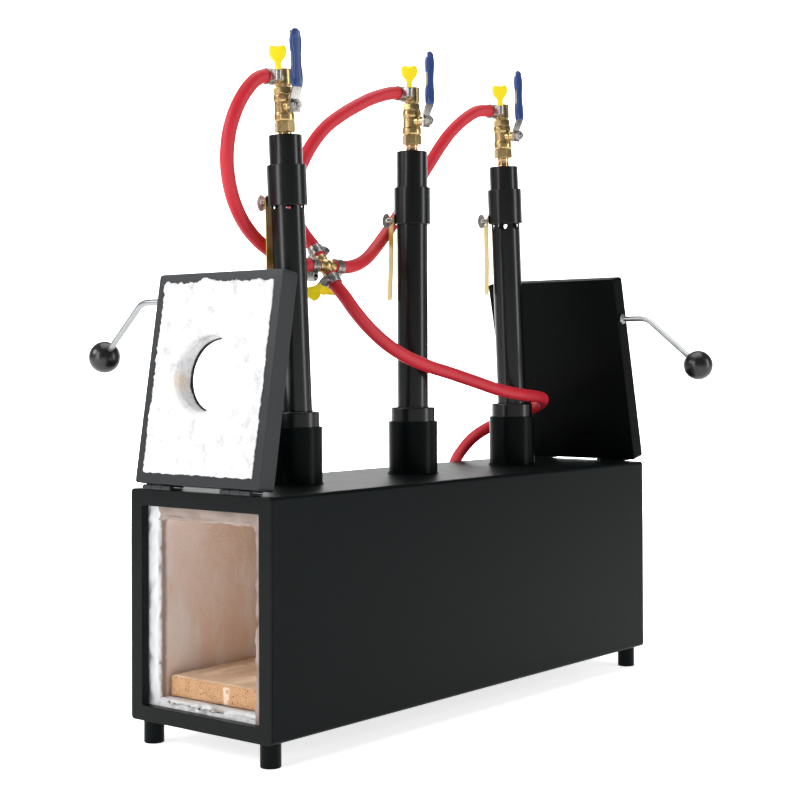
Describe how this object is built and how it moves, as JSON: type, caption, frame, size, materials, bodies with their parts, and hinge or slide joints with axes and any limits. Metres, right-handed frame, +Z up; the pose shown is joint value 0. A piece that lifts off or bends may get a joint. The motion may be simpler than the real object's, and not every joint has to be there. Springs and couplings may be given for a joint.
{
  "type": "gas forge",
  "caption": "Bench gas forge: a black steel box with a wool lining and swing-over doors, upright atmospheric burners with ball valves, and red hoses from a shared brass cross.",
  "frame": {"origin": "middle of the forge on the surface that its feet stand on", "axes": "+X along the box from the front opening to the rear one, +Z up, -Y the side with the valve levers"},
  "size_m": [0.738, 0.5, 0.7912],
  "materials": {
    "black_steel": "satin black powder coat",
    "hinge_steel": "dark satin steel",
    "zinc": "zinc plated",
    "bright_rod": "bright drawn rod with a weld",
    "brass": "machined brass",
    "red_hose": "smooth red rubber",
    "white_wool": "loose ceramic fibre",
    "coated_wool": "ceramic fibre with a brushed refractory coat",
    "fire_brick": "porous fired clay with dark specks",
    "black_knob": "glossy black",
    "blue_vinyl": "dipped blue vinyl",
    "yellow_plastic": "moulded yellow plastic",
    "tag_plate": "blank ochre tag"
  },
  "bodies": {
    "root": {"burner_tube_1": "black_steel", "burner_tube_2": "black_steel", "burner_tube_3": "black_steel", "floor_blanket": "white_wool", "floor_brick_1": "fire_brick", "floor_brick_2": "fire_brick", "front_end_frame": "black_steel", "front_hinge_leaf_1": "hinge_steel", "front_hinge_leaf_2": "hinge_steel", "hose_1": "red_hose", "hose_2": "red_hose", "hose_3": "red_hose", "hose_clamp_1": "zinc", "hose_clamp_2": "zinc", "hose_clamp_3": "zinc", "hose_clamp_4": "zinc", "hose_clamp_5": "zinc", "hose_clamp_6": "zinc", "hose_clamp_7": "zinc", "manifold_cross": "brass", "rear_end_frame": "black_steel", "rear_hinge_leaf_1": "hinge_steel", "rear_hinge_leaf_2": "hinge_steel", "shell": "black_steel", "supply_connector": "brass", "supply_hose": "red_hose", "valve_body_1": "brass", "valve_body_2": "brass", "valve_body_3": "brass", "wall_lining": "coated_wool"},
    "choke_sleeve_1": {"burner_tag_1": "tag_plate", "choke_1": "black_steel"},
    "choke_sleeve_2": {"burner_tag_2": "tag_plate", "choke_2": "black_steel"},
    "choke_sleeve_3": {"burner_tag_3": "tag_plate", "choke_3": "black_steel"},
    "choke_lock_1": {"choke_screw_1": "zinc"},
    "choke_lock_2": {"choke_screw_2": "zinc"},
    "choke_lock_3": {"choke_screw_3": "zinc"},
    "thumb_key_1": {"clamp_key_1": "yellow_plastic"},
    "thumb_key_2": {"clamp_key_2": "yellow_plastic"},
    "thumb_key_3": {"clamp_key_3": "yellow_plastic"},
    "thumb_key_4": {"clamp_key_4": "yellow_plastic"},
    "thumb_key_5": {"clamp_key_5": "yellow_plastic"},
    "thumb_key_6": {"clamp_key_6": "yellow_plastic"},
    "thumb_key_7": {"clamp_key_7": "yellow_plastic"},
    "front_door": {"front_door_handle": "bright_rod", "front_door_knob": "black_knob", "front_door_pan": "black_steel", "front_door_wool": "white_wool"},
    "valve_lever_1": {"lever_1": "zinc", "lever_grip_1": "blue_vinyl"},
    "valve_lever_2": {"lever_2": "zinc", "lever_grip_2": "blue_vinyl"},
    "valve_lever_3": {"lever_3": "zinc", "lever_grip_3": "blue_vinyl"},
    "rear_door": {"rear_door_handle": "bright_rod", "rear_door_knob": "black_knob", "rear_door_pan": "black_steel", "rear_door_wool": "white_wool"}
  },
  "joints": [
    {"name": "front_door_hinge", "type": "hinge", "parent": "root", "child": "front_door", "pos_m": [-0.36635, 0, 0.279], "axis": [0, -1, 0], "range_deg": [0, 189.4]},
    {"name": "rear_door_hinge", "type": "hinge", "parent": "root", "child": "rear_door", "pos_m": [0.36635, 0, 0.279], "axis": [0, 1, 0], "range_deg": [0, 192.3]},
    {"name": "valve_1_turn", "type": "hinge", "parent": "root", "child": "valve_lever_1", "pos_m": [-0.23106, 0, 0.69593], "axis": [0.2416, 0.9703, 0.0127], "range_deg": [0, 90]},
    {"name": "choke_1_slide", "type": "slide", "parent": "root", "child": "choke_sleeve_1", "axis": [-0.0523, 0, 0.9986], "range_m": [-0.012, 0.025]},
    {"name": "choke_lock_1_turn", "type": "hinge", "parent": "choke_sleeve_1", "child": "choke_lock_1", "pos_m": [-0.22558, 0, 0.59128], "axis": [-0.3741, 0.9272, -0.0196], "continuous": true},
    {"name": "valve_2_turn", "type": "hinge", "parent": "root", "child": "valve_lever_2", "pos_m": [-0.004, 0, 0.7052], "axis": [0, 1, 0], "range_deg": [0, 90]},
    {"name": "choke_2_slide", "type": "slide", "parent": "root", "child": "choke_sleeve_2", "axis": [0, 0, 1], "range_m": [-0.005, 0.032]},
    {"name": "choke_lock_2_turn", "type": "hinge", "parent": "choke_sleeve_2", "child": "choke_lock_2", "pos_m": [-0.004, 0, 0.5846], "axis": [-0.6293, 0.7771, 0], "continuous": true},
    {"name": "valve_3_turn", "type": "hinge", "parent": "root", "child": "valve_lever_3", "pos_m": [0.18631, 0, 0.70769], "axis": [0, 1, 0], "range_deg": [0, 90]},
    {"name": "choke_3_slide", "type": "slide", "parent": "root", "child": "choke_sleeve_3", "axis": [-0.0541, 0, 0.9985], "range_m": [-0.019, 0.018]},
    {"name": "choke_lock_3_turn", "type": "hinge", "parent": "choke_sleeve_3", "child": "choke_lock_3", "pos_m": [0.19223, 0, 0.59825], "axis": [-0.5584, 0.829, -0.0302], "continuous": true},
    {"name": "thumb_key_1_turn", "type": "hinge", "parent": "root", "child": "thumb_key_1", "pos_m": [-0.25473, -0.014, 0.72709], "axis": [-0.0523, 0, 0.9986], "continuous": true},
    {"name": "thumb_key_2_turn", "type": "hinge", "parent": "root", "child": "thumb_key_2", "pos_m": [-0.026, -0.014, 0.73755], "axis": [0, 0, 1], "continuous": true},
    {"name": "thumb_key_3_turn", "type": "hinge", "parent": "root", "child": "thumb_key_3", "pos_m": [0.16259, -0.014, 0.7388], "axis": [-0.0541, 0, 0.9985], "continuous": true},
    {"name": "thumb_key_4_turn", "type": "hinge", "parent": "root", "child": "thumb_key_4", "pos_m": [-0.1745, 0.01, 0.509], "axis": [0, 1, 0], "continuous": true},
    {"name": "thumb_key_5_turn", "type": "hinge", "parent": "root", "child": "thumb_key_5", "pos_m": [-0.139, 0.0229, 0.5402], "axis": [0, 0.8, -0.6], "continuous": true},
    {"name": "thumb_key_6_turn", "type": "hinge", "parent": "root", "child": "thumb_key_6", "pos_m": [-0.1315, 0.024, 0.523], "axis": [0, 0, -1], "continuous": true},
    {"name": "thumb_key_7_turn", "type": "hinge", "parent": "root", "child": "thumb_key_7", "pos_m": [-0.167, -0.0029, 0.5058], "axis": [0, 0.8, -0.6], "continuous": true}
  ]
}
